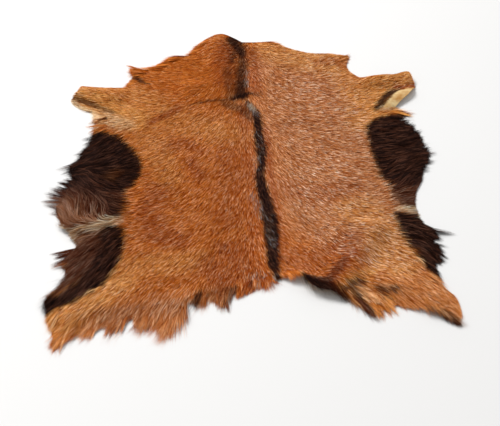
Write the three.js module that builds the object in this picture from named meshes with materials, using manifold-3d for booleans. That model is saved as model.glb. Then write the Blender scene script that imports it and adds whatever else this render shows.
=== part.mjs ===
// A tanned goat skin with its hair on, lying flat with the hair side up.
// Millimetres: X across the skin, Y from the rump to the neck, Z up, the floor at Z = 0.

import * as THREE from "three";
import { mergeVertices } from "three/addons/utils/BufferGeometryUtils.js";
import Module from "manifold-3d";

const wasm = await Module();
wasm.setup();

// Driving sizes of the sheet: skin and lying hair together, thin at the rim.
const sheet = {
  bodyDepth: 11,
  rimDepth: 5.5,
  taper: 46,
  deepAtRim: 0.35,
  gridStep: 24,
  rimStep: 17,
  tallest: 90,
};

// The lumps of the lying hair, as waves that cross each other.
const lumps = [
  { pitch: 124, heading: 32, rise: 1.5 },
  { pitch: 92, heading: 104, rise: 1.3 },
  { pitch: 78, heading: 158, rise: 0.9 },
];

// The hollow under a fold, a little lower and narrower than the fold itself.
const hollow = {
  rise: 0.85,
  reach: 0.9,
  endReach: 0.7,
  step: 24,
  across: [-1, -0.62, -0.26, 0.26, 0.62, 1],
  below: 4,
};

// The hair locks that stand out round the rim.
const lock = {
  pitch: 22,
  shortPitch: 30,
  shortHair: 16,
  width: 17,
  height: 5.2,
  inset: 13,
  uneven: 0.38,
  widthUneven: 0.2,
  sway: 20,
  curl: 14,
  seed: 11,
};

// What a standing tuft adds to a lock: taller, each shorter than the last, and seeded apart.
const tuftLock = { taller: 2, shorter: 0.18, sway: 6, seed: 29 };

// The steps of the seeded number maker.
const stir = { factor: 1664525, step: 1013904223, size: 2 ** 32 };

const hideColour = 0xb5713c;
const hideRoughness = 0.92;

// The rim, clockwise from the neck, a row for each bend. A sharp bend is a corner or a nick.
// hair is how far the locks reach past the rim there, and heading their way over the floor.
const neckRim = {
  hair: 11,
  heading: 92,
  bends: [
    { x: -60, y: 477 },
    { x: -27, y: 458 },
    { x: -9, y: 443, sharp: true },
    { x: 30, y: 443 },
    { x: 62, y: 444 },
  ],
};
const rightShoulderRim = {
  hair: 15,
  heading: 62,
  bends: [
    { x: 95, y: 420 },
    { x: 149, y: 396 },
    { x: 203, y: 393 },
    { x: 239, y: 383, sharp: true },
    { x: 235, y: 354 },
    { x: 236, y: 332 },
    { x: 274, y: 293 },
  ],
};
const rightForelegRim = {
  hair: 9,
  heading: 5,
  bends: [
    { x: 304, y: 297 },
    { x: 340, y: 298 },
    { x: 368, y: 317, sharp: true },
    { x: 376, y: 302 },
    { x: 385, y: 264 },
    { x: 374, y: 233 },
    { x: 352, y: 196 },
    { x: 334, y: 172, sharp: true },
  ],
};
const rightFlankRim = {
  hair: 20,
  heading: -12,
  bends: [
    { x: 334, y: 150 },
    { x: 351, y: 120 },
    { x: 366, y: 81 },
    { x: 372, y: 25 },
    { x: 363, y: -44 },
    { x: 345, y: -84 },
    { x: 342, y: -112 },
    { x: 350, y: -171 },
    { x: 374, y: -190, sharp: true },
    { x: 366, y: -214 },
    { x: 369, y: -248 },
    { x: 355, y: -284, sharp: true },
  ],
};
const rightHindlegRim = {
  hair: 12,
  heading: -52,
  bends: [
    { x: 367, y: -328 },
    { x: 387, y: -357 },
    { x: 392, y: -401 },
    { x: 384, y: -423, sharp: true },
    { x: 362, y: -412 },
    { x: 320, y: -388 },
  ],
};
const rightRumpRim = {
  hair: 20,
  heading: -70,
  bends: [
    { x: 279, y: -379 },
    { x: 250, y: -394 },
    { x: 222, y: -387 },
    { x: 166, y: -358 },
    { x: 118, y: -342 },
    { x: 97, y: -311 },
  ],
};
const tailRim = {
  hair: 15,
  heading: -102,
  bends: [
    { x: 60, y: -322 },
    { x: 19, y: -337 },
    { x: -11, y: -356, sharp: true },
    { x: -19, y: -341, sharp: true },
    { x: -36, y: -381, sharp: true },
    { x: -54, y: -365 },
    { x: -92, y: -368, sharp: true },
  ],
};
const leftRumpRim = {
  hair: 25,
  heading: -98,
  bends: [
    { x: -106, y: -404 },
    { x: -134, y: -437, sharp: true },
    { x: -158, y: -425 },
    { x: -205, y: -419 },
    { x: -265, y: -440 },
  ],
};
const leftHindlegRim = {
  hair: 14,
  heading: -128,
  bends: [
    { x: -289, y: -436 },
    { x: -323, y: -474, sharp: true },
    { x: -335, y: -464 },
    { x: -348, y: -425 },
    { x: -366, y: -356, sharp: true },
    { x: -331, y: -305 },
  ],
};
const leftFlankRim = {
  hair: 19,
  heading: 166,
  bends: [
    { x: -341, y: -270 },
    { x: -322, y: -232, sharp: true },
    { x: -352, y: -189 },
    { x: -371, y: -160 },
    { x: -371, y: -115 },
    { x: -345, y: -47 },
    { x: -352, y: -6, sharp: true },
    { x: -338, y: 42 },
    { x: -321, y: 118 },
  ],
};
const leftForelegRim = {
  hair: 9,
  heading: 178,
  bends: [
    { x: -325, y: 152 },
    { x: -341, y: 173 },
    { x: -366, y: 184 },
    { x: -392, y: 216 },
    { x: -378, y: 240 },
    { x: -371, y: 259, sharp: true },
    { x: -330, y: 263 },
    { x: -272, y: 265, sharp: true },
  ],
};
const leftShoulderRim = {
  hair: 15,
  heading: 124,
  bends: [
    { x: -262, y: 305 },
    { x: -270, y: 344, sharp: true },
    { x: -243, y: 331 },
    { x: -209, y: 341 },
    { x: -171, y: 383 },
    { x: -136, y: 390 },
    { x: -110, y: 432 },
    { x: -86, y: 461 },
  ],
};
const rimSections = [
  neckRim,
  rightShoulderRim,
  rightForelegRim,
  rightFlankRim,
  rightHindlegRim,
  rightRumpRim,
  tailRim,
  leftRumpRim,
  leftHindlegRim,
  leftFlankRim,
  leftForelegRim,
  leftShoulderRim,
];

// Tufts that stand out further than the hair beside them, each a few locks from one place.
const tufts = [
  { x: -352, y: -2, heading: 196, length: 46, width: 24, locks: 2 },
  { x: -366, y: -96, heading: 146, length: 42, width: 26, locks: 3 },
  { x: -372, y: -140, heading: 160, length: 44, width: 26, locks: 2 },
  { x: -341, y: -262, heading: 170, length: 46, width: 26, locks: 3 },
  { x: -322, y: -470, heading: -118, length: 22, width: 22, locks: 1 },
  { x: -138, y: -432, heading: -96, length: 30, width: 26, locks: 2 },
  { x: -34, y: -376, heading: -84, length: 28, width: 20, locks: 1 },
  { x: 262, y: -382, heading: -60, length: 42, width: 26, locks: 2 },
  { x: 374, y: -194, heading: -8, length: 40, width: 22, locks: 2 },
  { x: 362, y: -262, heading: -34, length: 34, width: 22, locks: 1 },
  { x: 364, y: 64, heading: 4, length: 38, width: 26, locks: 3 },
  { x: 346, y: 176, heading: -6, length: 34, width: 20, locks: 1 },
  { x: 236, y: 380, heading: 40, length: 26, width: 20, locks: 1 },
  { x: -268, y: 338, heading: 150, length: 24, width: 20, locks: 1 },
];

// Folds: the sheet rises off the floor along a line, by rise at the line and nothing at half away.
const folds = [
  { name: "haunch fold", x: 246, y: -196, toX: 176, toY: -322, rise: 21, half: 46 },
  { name: "rump swell", x: 196, y: -176, toX: 128, toY: -262, rise: 9, half: 46 },
  { name: "curled rump rim", x: 104, y: -322, toX: 152, toY: -356, rise: 15, half: 44 },
  { name: "left of the neck", x: -72, y: 418, toX: -44, toY: 318, rise: 11, half: 46 },
  { name: "right of the neck", x: 44, y: 400, toX: 34, toY: 306, rise: 7, half: 44 },
  { name: "withers fold", x: -132, y: 256, toX: -34, toY: 264, rise: 9, half: 36 },
  { name: "left fore shank", x: -378, y: 244, toX: -296, toY: 226, rise: 12, half: 34 },
  { name: "right fore shank", x: 380, y: 298, toX: 290, toY: 284, rise: 14, half: 36 },
  { name: "right fore curl", x: 374, y: 238, toX: 318, toY: 206, rise: 13, half: 32 },
  { name: "left flank wave", x: -356, y: -200, toX: -262, toY: -168, rise: 8, half: 42 },
  { name: "left haunch wave", x: -300, y: -404, toX: -190, toY: -330, rise: 7, half: 52 },
  { name: "right haunch wave", x: 352, y: -384, toX: 262, toY: -318, rise: 8, half: 48 },
];

// Places where the hair lies deeper than elsewhere, as ovals with the added depth.
const deepHair = [
  { name: "left dark flank", x: -282, y: 22, across: 92, along: 122, depth: 8 },
  { name: "left belly tuft", x: -318, y: -128, across: 84, along: 84, depth: 7 },
  { name: "left groin", x: -290, y: -262, across: 84, along: 116, depth: 6 },
  { name: "right dark flank", x: 326, y: 22, across: 78, along: 148, depth: 8 },
  { name: "right groin", x: 338, y: -212, across: 66, along: 96, depth: 6 },
  { name: "left rump fringe", x: -196, y: -388, across: 150, along: 64, depth: 5 },
  { name: "right rump fringe", x: 206, y: -352, across: 110, along: 54, depth: 5 },
];

// A hill that is 1 in the middle and runs out smoothly to 0 where far reaches 1.
function hill(far) {
  return far < 1 ? (1 - far * far) ** 2 : 0;
}

function farFromLine(x, y, line) {
  const alongX = line.toX - line.x;
  const alongY = line.toY - line.y;
  const share = ((x - line.x) * alongX + (y - line.y) * alongY) / (alongX ** 2 + alongY ** 2);
  const held = THREE.MathUtils.clamp(share, 0, 1);
  return Math.hypot(x - line.x - held * alongX, y - line.y - held * alongY);
}

// How far the folds carry the underside off the floor.
function liftAt(x, y) {
  return folds.reduce((sum, fold) => sum + fold.rise * hill(farFromLine(x, y, fold) / fold.half), 0);
}

function lumpAt(x, y) {
  return lumps.reduce((sum, wave) => {
    const way = THREE.MathUtils.degToRad(wave.heading);
    const along = x * Math.cos(way) + y * Math.sin(way);
    return sum + wave.rise * Math.sin((2 * Math.PI * along) / wave.pitch);
  }, 0);
}

// The rim as a smooth curve between its sharp bends, returned as points with their hair.
function traceRim() {
  const bends = rimSections.flatMap((section) => section.bends.map((bend) => ({ ...bend, section })));
  const first = bends.findIndex((bend) => bend.sharp);
  const turned = [...bends.slice(first), ...bends.slice(0, first + 1)];
  const points = [];
  let run = [turned[0]];
  for (const bend of turned.slice(1)) {
    run.push(bend);
    if (bend.sharp) {
      points.push(...smoothRun(run));
      run = [bend];
    }
  }
  return points;
}

function smoothRun(run) {
  const curve = new THREE.CatmullRomCurve3(
    run.map((bend) => new THREE.Vector3(bend.x, bend.y, 0)),
    false,
    "centripetal",
  );
  const steps = Math.max(2, Math.round(curve.getLength() / sheet.rimStep));
  return Array.from({ length: steps }, (_, i) => {
    const point = curve.getPointAt(i / steps);
    const nearest = run.reduce((best, bend) =>
      Math.hypot(bend.x - point.x, bend.y - point.y) < Math.hypot(best.x - point.x, best.y - point.y)
        ? bend
        : best,
    );
    return { x: point.x, y: point.y, section: nearest.section };
  });
}

const rim = traceRim();

function farFromRim(x, y) {
  return rim.reduce((best, point, i) => {
    const next = rim[(i + 1) % rim.length];
    return Math.min(best, farFromLine(x, y, { x: point.x, y: point.y, toX: next.x, toY: next.y }));
  }, Infinity);
}

// Skin and hair together: thin at the rim, deep over the flanks, lumpy all over.
function depthAt(x, y) {
  const inward = THREE.MathUtils.smoothstep(farFromRim(x, y), 0, sheet.taper);
  const deep = deepHair.reduce((sum, place) => {
    const far = Math.hypot((x - place.x) / place.across, (y - place.y) / place.along);
    return sum + place.depth * hill(far);
  }, 0);
  const plain = sheet.rimDepth + (sheet.bodyDepth - sheet.rimDepth) * inward;
  const deepShare = sheet.deepAtRim + (1 - sheet.deepAtRim) * inward;
  return plain + deep * deepShare + lumpAt(x, y) * inward;
}

function geometryOf(positions, triangles) {
  const geometry = new THREE.BufferGeometry();
  geometry.setAttribute("position", new THREE.Float32BufferAttribute(positions, 3));
  geometry.setIndex(triangles);
  return geometry;
}

function solidOf(geometry) {
  const bare = geometry.clone();
  bare.deleteAttribute("normal");
  bare.deleteAttribute("uv");
  const merged = mergeVertices(bare, 1e-3);
  const mesh = new wasm.Mesh({
    numProp: 3,
    vertProperties: new Float32Array(merged.attributes.position.array),
    triVerts: new Uint32Array(merged.index.array),
  });
  return new wasm.Manifold(mesh);
}

function geometryFrom(solid) {
  const mesh = solid.getMesh();
  const geometry = geometryOf(Array.from(mesh.vertProperties), Array.from(mesh.triVerts));
  const faceted = geometry.toNonIndexed();
  faceted.computeVertexNormals();
  return faceted;
}

// A closed solid from a grid of columns, each with its top at a height and its foot at one level.
function makeColumns(grid, foot) {
  const along = grid.length;
  const across = grid[0].length;
  const layer = along * across;
  const points = grid.flat();
  const positions = [
    ...points.flatMap(({ x, y }) => [x, y, foot]),
    ...points.flatMap(({ x, y, z }) => [x, y, z]),
  ];
  const triangles = [];
  const quad = (a, b, c, d) => triangles.push(a, b, c, a, c, d);
  for (let j = 0; j + 1 < along; j += 1) {
    for (let i = 0; i + 1 < across; i += 1) {
      const at = layer + j * across + i;
      quad(at, at + 1, at + across + 1, at + across);
    }
  }
  const front = Array.from({ length: across }, (_, i) => i);
  const right = Array.from({ length: along - 1 }, (_, j) => (j + 2) * across - 1);
  const back = front.slice(0, -1).map((i) => along * across - 2 - i);
  const left = Array.from({ length: along - 2 }, (_, j) => (along - 2 - j) * across);
  const skirt = [...front, ...right, ...back, ...left];
  skirt.forEach((at, k) => {
    const next = skirt[(k + 1) % skirt.length];
    quad(at, next, layer + next, layer + at);
  });
  const outline = skirt.map((at) => new THREE.Vector2(points[at].x, points[at].y));
  THREE.ShapeUtils.triangulateShape(outline, []).forEach(([a, b, c]) => {
    triangles.push(skirt[a], skirt[c], skirt[b]);
  });
  return solidOf(geometryOf(positions, triangles));
}

// The top of the sheet over its whole box, standing on the floor.
function makeSlab() {
  const box = new THREE.Box2().setFromPoints(rim.map((point) => new THREE.Vector2(point.x, point.y)));
  box.expandByScalar(sheet.gridStep);
  const across = 1 + Math.ceil((box.max.x - box.min.x) / sheet.gridStep);
  const along = 1 + Math.ceil((box.max.y - box.min.y) / sheet.gridStep);
  const grid = Array.from({ length: along }, (_, j) =>
    Array.from({ length: across }, (__, i) => {
      const x = box.min.x + i * sheet.gridStep;
      const y = box.min.y + j * sheet.gridStep;
      return { x, y, z: liftAt(x, y) + depthAt(x, y) };
    }),
  );
  return makeColumns(grid, 0);
}

// The space between the floor and a fold, as a strip along the fold's line with narrowed ends.
function makeHollow(fold) {
  const alongX = fold.toX - fold.x;
  const alongY = fold.toY - fold.y;
  const length = Math.hypot(alongX, alongY);
  const past = hollow.endReach * fold.half;
  const steps = Math.ceil((length + 2 * past) / hollow.step);
  const grid = Array.from({ length: steps + 1 }, (_, j) => {
    const walked = -past + (j / steps) * (length + 2 * past);
    const beyond = Math.max(0, -walked, walked - length);
    const half = Math.sqrt((hollow.reach * fold.half) ** 2 - beyond ** 2);
    return hollow.across.map((share) => {
      const x = fold.x + (alongX * walked + alongY * share * half) / length;
      const y = fold.y + (alongY * walked - alongX * share * half) / length;
      const z = hollow.rise * fold.rise * hill(farFromLine(x, y, fold) / fold.half);
      return { x, y, z };
    });
  });
  return makeColumns(grid, -hollow.below);
}

// The cut outline as an upright block, taller than the sheet and reaching below it.
function makeOutlineBlock() {
  const shape = new THREE.Shape(rim.map((point) => new THREE.Vector2(point.x, point.y)));
  const block = new THREE.ExtrudeGeometry(shape, { depth: 2 * sheet.tallest, bevelEnabled: false });
  block.translate(0, 0, -sheet.tallest);
  return solidOf(block);
}

// Seeded numbers from 0 to 1, the same on every run.
function makeRandom(seed) {
  let state = seed;
  return () => {
    state = (state * stir.factor + stir.step) % stir.size;
    return state / stir.size;
  };
}

// One lock: three sides, flat underneath, tapering and turning from its root to its tip.
const lockStations = [
  { share: 0, wide: 1, high: 1 },
  { share: 0.6, wide: 0.82, high: 0.9 },
];

function makeLock({ x, y, heading, turn, length, width, height }) {
  const positions = [];
  const triangles = [];
  const rootLift = liftAt(x, y);
  const way = THREE.MathUtils.degToRad(heading);
  const spot = { x, y };
  let walked = 0;
  const advance = (share) => {
    const angle = way + THREE.MathUtils.degToRad(turn) * share;
    spot.x += Math.cos(angle) * (share - walked) * length;
    spot.y += Math.sin(angle) * (share - walked) * length;
    walked = share;
    return angle;
  };
  lockStations.forEach(({ share, wide, high }) => {
    const angle = advance(share);
    const floor = rootLift * (1 - share);
    const half = (width * wide) / 2;
    const sideX = -Math.sin(angle) * half;
    const sideY = Math.cos(angle) * half;
    positions.push(spot.x + sideX, spot.y + sideY, floor);
    positions.push(spot.x - sideX, spot.y - sideY, floor);
    positions.push(spot.x, spot.y, floor + height * high);
  });
  advance(1);
  positions.push(spot.x, spot.y, 0);
  const last = lockStations.length - 1;
  triangles.push(0, 1, 2);
  for (let k = 0; k < last; k += 1) {
    for (let side = 0; side < 3; side += 1) {
      const a = 3 * k + side;
      const b = 3 * k + ((side + 1) % 3);
      triangles.push(a, a + 3, b + 3, a, b + 3, b);
    }
  }
  const tip = 3 * (last + 1);
  for (let side = 0; side < 3; side += 1) {
    triangles.push(3 * last + side, tip, 3 * last + ((side + 1) % 3));
  }
  return solidOf(geometryOf(positions, triangles));
}

// Locks at an even pitch round the rim, each leaning between straight out and its section's way.
function makeRimLocks() {
  const random = makeRandom(lock.seed);
  const swing = () => 2 * random() - 1;
  const locks = [];
  let left = 0;
  rim.forEach((point, i) => {
    const next = rim[(i + 1) % rim.length];
    const step = Math.hypot(next.x - point.x, next.y - point.y);
    left -= step;
    if (left > 0) return;
    left += point.section.hair < lock.shortHair ? lock.shortPitch : lock.pitch;
    const outward = Math.atan2(next.x - point.x, -(next.y - point.y));
    const { hair, heading } = point.section;
    const way = THREE.MathUtils.degToRad(heading);
    const lean = Math.atan2(
      Math.sin(outward) + Math.sin(way),
      Math.cos(outward) + Math.cos(way),
    );
    const reach = hair * (1 + lock.uneven * swing());
    locks.push(
      makeLock({
        x: point.x - Math.cos(lean) * lock.inset,
        y: point.y - Math.sin(lean) * lock.inset,
        heading: THREE.MathUtils.radToDeg(lean) + lock.sway * swing(),
        turn: lock.curl * swing(),
        length: lock.inset + reach,
        width: lock.width * (1 + lock.widthUneven * swing()),
        height: lock.height,
      }),
    );
  });
  return locks;
}

function makeTufts() {
  const random = makeRandom(tuftLock.seed);
  const swing = () => 2 * random() - 1;
  return tufts.flatMap((tuft) =>
    Array.from({ length: tuft.locks }, (_, i) => {
      const spread = (i - (tuft.locks - 1) / 2) * lock.sway;
      const heading = tuft.heading + spread + tuftLock.sway * swing();
      const way = THREE.MathUtils.degToRad(heading);
      return makeLock({
        x: tuft.x - Math.cos(way) * lock.inset,
        y: tuft.y - Math.sin(way) * lock.inset,
        heading,
        turn: lock.curl * swing(),
        length: lock.inset + tuft.length * (1 - tuftLock.shorter * i),
        width: tuft.width,
        height: lock.height + tuftLock.taller,
      });
    }),
  );
}

function makeHide() {
  const hollows = wasm.Manifold.union(folds.map(makeHollow));
  const body = makeSlab().intersect(makeOutlineBlock()).subtract(hollows);
  const solid = wasm.Manifold.union([body, ...makeRimLocks(), ...makeTufts()]);
  const hide = new THREE.Mesh(
    geometryFrom(solid),
    new THREE.MeshStandardMaterial({
      name: "hide",
      color: hideColour,
      roughness: hideRoughness,
      metalness: 0,
      flatShading: true,
    }),
  );
  hide.name = "hide";
  return hide;
}

const goatHide = new THREE.Group();
goatHide.name = "goat_hide";
goatHide.add(makeHide());

export default goatHide;
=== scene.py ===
import math
import bpy
import numpy as np
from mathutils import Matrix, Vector, geometry


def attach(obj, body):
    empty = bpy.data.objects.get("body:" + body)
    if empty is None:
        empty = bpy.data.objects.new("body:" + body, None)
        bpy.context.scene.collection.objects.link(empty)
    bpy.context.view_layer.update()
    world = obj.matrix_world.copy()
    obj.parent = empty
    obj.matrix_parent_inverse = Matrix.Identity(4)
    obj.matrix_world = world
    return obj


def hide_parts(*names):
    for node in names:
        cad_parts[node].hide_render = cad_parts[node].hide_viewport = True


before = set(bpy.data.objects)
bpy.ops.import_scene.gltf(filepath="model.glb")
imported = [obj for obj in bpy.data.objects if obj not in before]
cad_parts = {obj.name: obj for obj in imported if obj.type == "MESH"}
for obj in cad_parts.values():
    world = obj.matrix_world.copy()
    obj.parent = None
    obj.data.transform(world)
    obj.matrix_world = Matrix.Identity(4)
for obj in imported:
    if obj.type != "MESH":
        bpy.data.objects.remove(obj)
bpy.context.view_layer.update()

# A goat skin with its hair on, laid flat on the floor. All tables are in millimetres
# from the middle of the hide: x across, y from the rump to the neck, z up
mm = 0.001

for thing in bpy.context.selected_objects:
    thing.select_set(False)


# the rim, clockwise from the neck: x, y, 1 where the bend is sharp, and how far the hair
# reaches out past the skin there
rimSections = {
    "neck": [(-60, 477, 0, 2), (-27, 458, 0, 2), (-9, 443, 1, 4), (30, 443, 0, 4), (62, 444, 0, 2)],
    "rightShoulder": [
        (95, 420, 0, 1), (149, 396, 0, 1), (203, 393, 0, 1), (239, 383, 1, 4),
        (235, 354, 0, 3), (236, 332, 0, 1), (274, 293, 0, 1)],
    "rightForeleg": [
        (304, 297, 0, 1), (340, 298, 0, 1), (368, 317, 1, 1), (376, 302, 0, 1),
        (385, 264, 0, 2), (374, 233, 0, 3), (352, 196, 0, 19), (334, 172, 1, 18)],
    "rightFlank": [
        (334, 150, 0, 9), (351, 120, 0, 10), (366, 81, 0, 9), (372, 25, 0, 12),
        (363, -44, 0, 1), (345, -84, 0, 1), (342, -112, 0, 1), (350, -171, 0, 1),
        (374, -190, 1, 7), (366, -214, 0, 10), (369, -248, 0, 8), (355, -284, 1, 4)],
    "rightHindleg": [
        (367, -328, 0, 1), (387, -357, 0, 2), (392, -401, 0, 1), (384, -423, 1, 3),
        (362, -412, 0, 5), (320, -388, 0, 6)],
    "rightRump": [
        (279, -379, 0, 5), (250, -394, 0, 19), (222, -387, 0, 18), (166, -358, 0, 6),
        (118, -342, 0, 7), (97, -311, 0, 8)],
    "tail": [
        (60, -322, 0, 12), (19, -337, 0, 5), (-11, -356, 1, 4), (-19, -341, 1, 5),
        (-36, -381, 1, 14), (-54, -365, 0, 13), (-92, -368, 1, 22)],
    "leftRump": [
        (-106, -404, 0, 14), (-134, -437, 1, 24), (-158, -425, 0, 15), (-205, -419, 0, 25),
        (-265, -440, 0, 15)],
    "leftHindleg": [
        (-289, -436, 0, 7), (-323, -474, 1, 13), (-335, -464, 0, 5), (-348, -425, 0, 4),
        (-366, -356, 1, 6), (-331, -305, 0, 9)],
    "leftFlank": [
        (-341, -270, 0, 8), (-322, -232, 1, 1), (-352, -189, 0, 3), (-371, -160, 0, 2),
        (-371, -115, 0, 10), (-345, -47, 0, 12), (-352, -6, 1, 14), (-338, 42, 0, 10),
        (-321, 118, 0, 9)],
    "leftForeleg": [
        (-325, 152, 0, 7), (-341, 173, 0, 3), (-366, 184, 0, 2), (-392, 216, 0, 3),
        (-378, 240, 0, 1), (-371, 259, 1, 1), (-330, 263, 0, 2), (-272, 265, 1, 2)],
    "leftShoulder": [
        (-262, 305, 0, 5), (-270, 344, 1, 7), (-243, 331, 0, 6), (-209, 341, 0, 5),
        (-171, 383, 0, 6), (-136, 390, 0, 5), (-110, 432, 0, 5), (-86, 461, 0, 2)],
}

# folds, where the sheet rises off the floor: a name, the line as x, y of both ends, how high
# it rises and how far from the line it ends
folds = [
    ("haunchFold", (246, -196, 176, -322), 21, 46),
    ("rumpSwell", (196, -176, 128, -262), 9, 46),
    ("curledRumpRim", (104, -322, 152, -356), 15, 44),
    ("leftOfNeck", (-72, 418, -44, 318), 11, 46),
    ("rightOfNeck", (44, 400, 34, 306), 7, 44),
    ("withersFold", (-132, 256, -34, 264), 9, 36),
    ("leftForeShank", (-378, 244, -296, 226), 12, 34),
    ("rightForeShank", (380, 298, 290, 284), 14, 36),
    ("rightForeCurl", (374, 238, 318, 206), 13, 32),
    ("leftFlankWave", (-356, -200, -262, -168), 8, 42),
    ("leftHaunchWave", (-300, -404, -190, -330), 7, 52),
    ("rightHaunchWave", (352, -384, 262, -318), 8, 48),
]


def hill(far):
    return np.where(far < 1, (1 - np.minimum(far, 1) ** 2) ** 2, 0)


def smooth(value, low, high):
    share = np.clip((value - low) / (high - low), 0, 1)
    return share * share * (3 - 2 * share)


# how far points are from a line, and how far along it the nearest place is, 0 to 1
def farFromLine(x, y, line):
    ax, ay, bx, by = line
    along = ((x - ax) * (bx - ax) + (y - ay) * (by - ay)) / max((bx - ax) ** 2 + (by - ay) ** 2, 1e-9)
    along = np.clip(along, 0, 1)
    return np.hypot(x - ax - along * (bx - ax), y - ay - along * (by - ay)), along


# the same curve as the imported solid: centripetal between sharp bends, in even steps
rimCurve = {"step": 5.0, "pieces": 24}


def smoothRun(points):
    ends = np.vstack([2 * points[0] - points[1], points, 2 * points[-1] - points[-2]])
    dense = []
    for a, b, c, d in zip(ends, ends[1:], ends[2:], ends[3:]):
        t1 = np.linalg.norm(b - a) ** 0.5
        t2 = t1 + np.linalg.norm(c - b) ** 0.5
        t3 = t2 + np.linalg.norm(d - c) ** 0.5
        t = np.linspace(t1, t2, rimCurve["pieces"], endpoint=False)[:, None]
        ab = a * (t1 - t) / t1 + b * t / t1
        bc = b * (t2 - t) / (t2 - t1) + c * (t - t1) / (t2 - t1)
        cd = c * (t3 - t) / (t3 - t2) + d * (t - t2) / (t3 - t2)
        left = ab * (t2 - t) / t2 + bc * t / t2
        right = bc * (t3 - t) / (t3 - t1) + cd * (t - t1) / (t3 - t1)
        dense.append(left * (t2 - t) / (t2 - t1) + right * (t - t1) / (t2 - t1))
    dense = np.vstack([*dense, points[-1:]])
    walked = np.concatenate([[0], np.cumsum(np.linalg.norm(np.diff(dense, axis=0), axis=1))])
    count = max(2, round(walked[-1] / rimCurve["step"]))
    wanted = np.arange(count) / count * walked[-1]
    return np.column_stack([np.interp(wanted, walked, dense[:, k]) for k in (0, 1)])


def traceRim():
    rows = np.array([bend for section in rimSections.values() for bend in section], float)
    first = int(np.argmax(rows[:, 2] > 0))
    rows = np.vstack([rows[first:], rows[:first + 1]])
    points, reach, start = [], [], 0
    for k in range(1, len(rows)):
        if rows[k, 2]:
            run = smoothRun(rows[start:k + 1, :2])
            points.append(run)
            bends = rows[start:k + 1]
            walked = np.concatenate([[0], np.cumsum(np.hypot(*np.diff(bends[:, :2], axis=0).T))])
            reach.append(np.interp(np.arange(len(run)) / len(run) * walked[-1], walked, bends[:, 3]))
            start = k
    return np.vstack(points), np.concatenate(reach)


rim, rimReach = traceRim()
print("rim traced,", len(rim), "points")


# fields over the whole hide, worked out once on a fine grid and looked up by every hair
fieldGrid = {"step": 2.5, "margin": 95, "edge": 1.001}


def gridLine(places):
    low, high = places.min() - fieldGrid["margin"], places.max() + fieldGrid["margin"]
    return np.arange(low, high, fieldGrid["step"])


gridX, gridY = gridLine(rim[:, 0]), gridLine(rim[:, 1])
cellX, cellY = np.meshgrid(gridX, gridY)
field = {}


def look(name, x, y):
    u = np.clip((x - gridX[0]) / fieldGrid["step"], 0, len(gridX) - fieldGrid["edge"])
    v = np.clip((y - gridY[0]) / fieldGrid["step"], 0, len(gridY) - fieldGrid["edge"])
    i, j = u.astype(int), v.astype(int)
    u, v = u - i, v - j
    cells = field[name]
    near = cells[j, i] * (1 - u) + cells[j, i + 1] * u
    far = cells[j + 1, i] * (1 - u) + cells[j + 1, i + 1] * u
    return near * (1 - v) + far * v


# how far inside a closed outline each point is, negative outside, and the nearest edge
def depthInside(x, y, loop):
    far = np.full(x.shape, 1e9)
    nearest = np.zeros(x.shape, int)
    inside = np.zeros(x.shape, bool)
    for k, ((ax, ay), (bx, by)) in enumerate(zip(loop, np.roll(loop, -1, axis=0))):
        away = farFromLine(x, y, (ax, ay, bx, by))[0]
        nearest = np.where(away < far, k, nearest)
        far = np.minimum(far, away)
        if ay != by:
            inside ^= ((ay > y) != (by > y)) & (x < ax + (bx - ax) * (y - ay) / (by - ay))
    return np.where(inside, far, -far), nearest


field["inside"], nearestEdge = depthInside(cellX, cellY, rim)
field["reach"] = rimReach[nearestEdge]

# the hair hangs over the skin's cut edge, which lies this far inside the rim
overhang = {"least": 1.0, "share": 0.6, "even": 9, "kept": 0.8}


def insetRim():
    even = overhang["even"]
    ring = np.concatenate([rimReach[-even:], rimReach, rimReach[:even]])
    evened = np.convolve(ring, np.ones(even) / even, "same")[even:-even]
    depth = overhang["least"] + overhang["share"] * evened
    x, y = rim.T
    probe = fieldGrid["step"]
    inX = look("inside", x + probe, y) - look("inside", x - probe, y)
    inY = look("inside", x, y + probe) - look("inside", x, y - probe)
    size = np.hypot(inX, inY) + 1e-6
    x, y = x + depth * inX / size, y + depth * inY / size
    keep = look("inside", x, y) > overhang["kept"] * depth
    return np.column_stack([x, y])[keep]


skinRim = insetRim()
field["skin"] = depthInside(cellX, cellY, skinRim)[0]

# the folds' heights, which fade out over this distance past the rim
foldFade = 34
field["lift"] = np.zeros(cellX.shape)
for _, line, rise, half in folds:
    field["lift"] = field["lift"] + rise * hill(farFromLine(cellX, cellY, line)[0] / half)
field["lift"] = field["lift"] * (1 - smooth(-field["inside"], 0, foldFade))

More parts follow.
